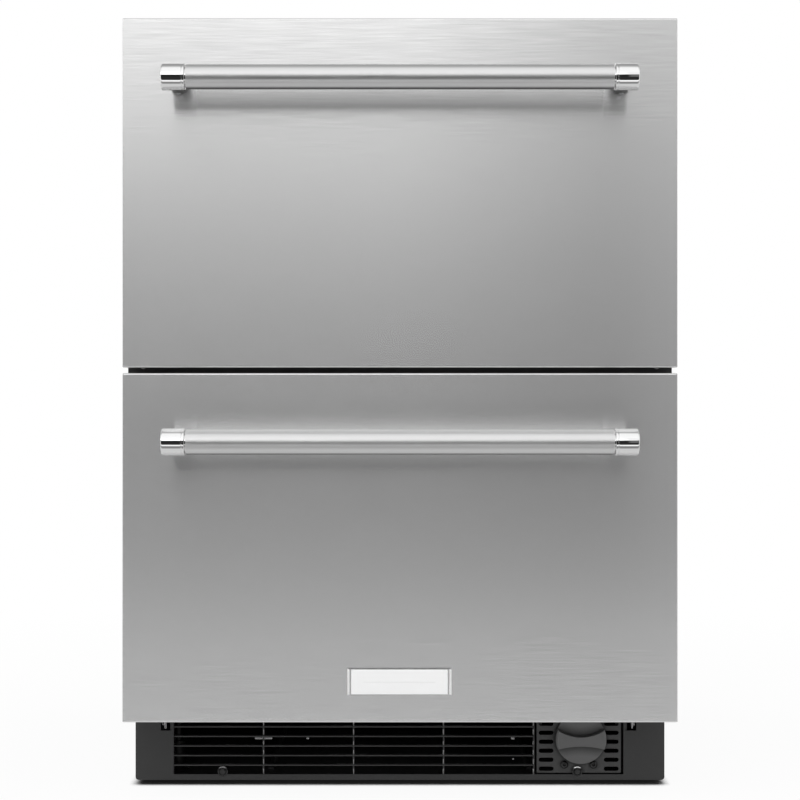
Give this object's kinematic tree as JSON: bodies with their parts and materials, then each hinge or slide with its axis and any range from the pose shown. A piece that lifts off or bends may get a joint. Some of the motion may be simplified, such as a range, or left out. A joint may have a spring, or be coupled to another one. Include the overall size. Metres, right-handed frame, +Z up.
{
  "type": "undercounter drawer refrigerator",
  "caption": "Undercounter refrigerator with full-width stainless steel drawers on ball slides, bar handles, lift-out style bins and a black louvred toe panel on levelling legs.",
  "frame": {"origin": "on the floor, under the middle of the overall box from the handles to the back", "axes": "+Z up, the drawers open towards -Y, +X to the right as seen from the front"},
  "size_m": [0.606, 0.6915, 0.866],
  "materials": {
    "cabinet_steel": "satin",
    "galvanised_sheet": "satin",
    "black_zinc": "satin",
    "insulation_foam": "matte",
    "white_plastic": "satin",
    "bin_plastic": "satin",
    "grey_plastic": "satin",
    "lens_plastic": "gloss",
    "button_plastic": "satin",
    "toe_black": "satin",
    "grille_black": "satin",
    "plate_black": "satin",
    "cap_black": "satin",
    "black_screw": "satin",
    "black_rubber": "matte",
    "compressor_black": "gloss",
    "condenser_steel": "satin",
    "shroud_plastic": "satin",
    "motor_metal": "satin",
    "fin_aluminium": "satin",
    "fan_white": "satin",
    "zinc_steel": "satin",
    "stainless": "satin",
    "satin_steel": "satin",
    "polished_chrome": "polished"
  },
  "bodies": {
    "cabinet": {"cabinet_wrapper": "cabinet_steel", "back_panel": "galvanised_sheet", "foam_insulation": "insulation_foam", "deck_panel": "galvanised_sheet", "cavity_liner": "white_plastic", "mullion_rail": "cabinet_steel", "base_pan": "cabinet_steel", "leg_sockets": "black_zinc", "toe_panel": "toe_black", "toe_grille": "grille_black", "filter_plate": "plate_black", "toe_screws": "black_screw", "rear_cover": "galvanised_sheet", "cord_gland": "black_rubber", "compressor": "compressor_black", "compressor_mounts": "black_rubber", "condenser_coil": "condenser_steel", "condenser_shroud": "shroud_plastic", "condenser_motor": "motor_metal", "drain_pan": "shroud_plastic", "evaporator_coil": "fin_aluminium", "evaporator_cover": "white_plastic", "evaporator_motor": "motor_metal", "control_housing": "grey_plastic", "light_lens": "lens_plastic", "upper_fixed_members": "zinc_steel", "lower_fixed_members": "zinc_steel"},
    "upper_drawer": {"upper_inner_members": "zinc_steel", "upper_rails": "zinc_steel", "upper_skin": "stainless", "upper_foam": "insulation_foam", "upper_panel": "white_plastic", "upper_gasket": "black_rubber", "upper_handle_bar": "satin_steel", "upper_handle_ends": "polished_chrome", "upper_bin": "bin_plastic"},
    "upper_slide_middle": {"upper_middle_members": "zinc_steel"},
    "upper_bin_divider": {"upper_divider": "bin_plastic"},
    "lower_drawer": {"lower_inner_members": "zinc_steel", "lower_rails": "zinc_steel", "lower_skin": "stainless", "lower_foam": "insulation_foam", "lower_panel": "white_plastic", "lower_gasket": "black_rubber", "lower_handle_bar": "satin_steel", "lower_handle_ends": "polished_chrome", "lower_bin": "bin_plastic"},
    "lower_slide_middle": {"lower_middle_members": "zinc_steel"},
    "lower_bin_divider": {"lower_divider": "bin_plastic"},
    "condenser_fan_body": {"condenser_fan": "shroud_plastic"},
    "evaporator_fan_body": {"evaporator_fan": "fan_white"},
    "power_button_body": {"power_button": "button_plastic"},
    "colder_button_body": {"colder_button": "button_plastic"},
    "warmer_button_body": {"warmer_button": "button_plastic"},
    "filter_cap_body": {"filter_cap": "cap_black"},
    "leg_front_left_body": {"leg_front_left": "black_zinc"},
    "leg_front_right_body": {"leg_front_right": "black_zinc"},
    "leg_rear_left_body": {"leg_rear_left": "black_zinc"},
    "leg_rear_right_body": {"leg_rear_right": "black_zinc"}
  },
  "joints": [
    {"name": "upper_drawer_slide", "type": "slide", "parent": "cabinet", "child": "upper_drawer", "axis": [0, -1, 0], "range_m": [0, 0.44]},
    {"name": "upper_slide_middle_slide", "type": "slide", "parent": "cabinet", "child": "upper_slide_middle", "axis": [0, -1, 0], "range_m": [0, 0.22]},
    {"name": "upper_divider_slide", "type": "slide", "parent": "upper_drawer", "child": "upper_bin_divider", "axis": [0, -1, 0], "range_m": [-0.12, 0.16]},
    {"name": "lower_drawer_slide", "type": "slide", "parent": "cabinet", "child": "lower_drawer", "axis": [0, -1, 0], "range_m": [0, 0.44]},
    {"name": "lower_slide_middle_slide", "type": "slide", "parent": "cabinet", "child": "lower_slide_middle", "axis": [0, -1, 0], "range_m": [0, 0.22]},
    {"name": "lower_divider_slide", "type": "slide", "parent": "lower_drawer", "child": "lower_bin_divider", "axis": [0, -1, 0], "range_m": [-0.12, 0.16]},
    {"name": "condenser_fan_spin", "type": "hinge", "parent": "cabinet", "child": "condenser_fan_body", "pos_m": [0.175, 0.23575, 0.1015], "axis": [0, 1, 0], "continuous": true},
    {"name": "evaporator_fan_spin", "type": "hinge", "parent": "cabinet", "child": "evaporator_fan_body", "pos_m": [0, 0.24575, 0.712], "axis": [0, 1, 0], "continuous": true},
    {"name": "power_button_press", "type": "slide", "parent": "cabinet", "child": "power_button_body", "axis": [0, 1, 0], "range_m": [0, 0.0008], "stiffness_N_per_m": 600},
    {"name": "colder_button_press", "type": "slide", "parent": "cabinet", "child": "colder_button_body", "axis": [0, 1, 0], "range_m": [0, 0.0008], "stiffness_N_per_m": 600},
    {"name": "warmer_button_press", "type": "slide", "parent": "cabinet", "child": "warmer_button_body", "axis": [0, 1, 0], "range_m": [0, 0.0008], "stiffness_N_per_m": 600},
    {"name": "filter_cap_turn", "type": "hinge", "parent": "cabinet", "child": "filter_cap_body", "pos_m": [0.20675, -0.17225, 0.0533], "axis": [0, -1, 0], "range_deg": [0, 90]},
    {"name": "leg_front_left_level", "type": "slide", "parent": "cabinet", "child": "leg_front_left_body", "axis": [0, 0, -1], "range_m": [0, 0.025]},
    {"name": "leg_front_right_level", "type": "slide", "parent": "cabinet", "child": "leg_front_right_body", "axis": [0, 0, -1], "range_m": [0, 0.025]},
    {"name": "leg_rear_left_level", "type": "slide", "parent": "cabinet", "child": "leg_rear_left_body", "axis": [0, 0, -1], "range_m": [0, 0.025]},
    {"name": "leg_rear_right_level", "type": "slide", "parent": "cabinet", "child": "leg_rear_right_body", "axis": [0, 0, -1], "range_m": [0, 0.025]}
  ],
  "couplings": [
    {"joint": "upper_slide_middle_slide", "follows": "upper_drawer_slide", "ratio": 0.5},
    {"joint": "lower_slide_middle_slide", "follows": "lower_drawer_slide", "ratio": 0.5}
  ]
}
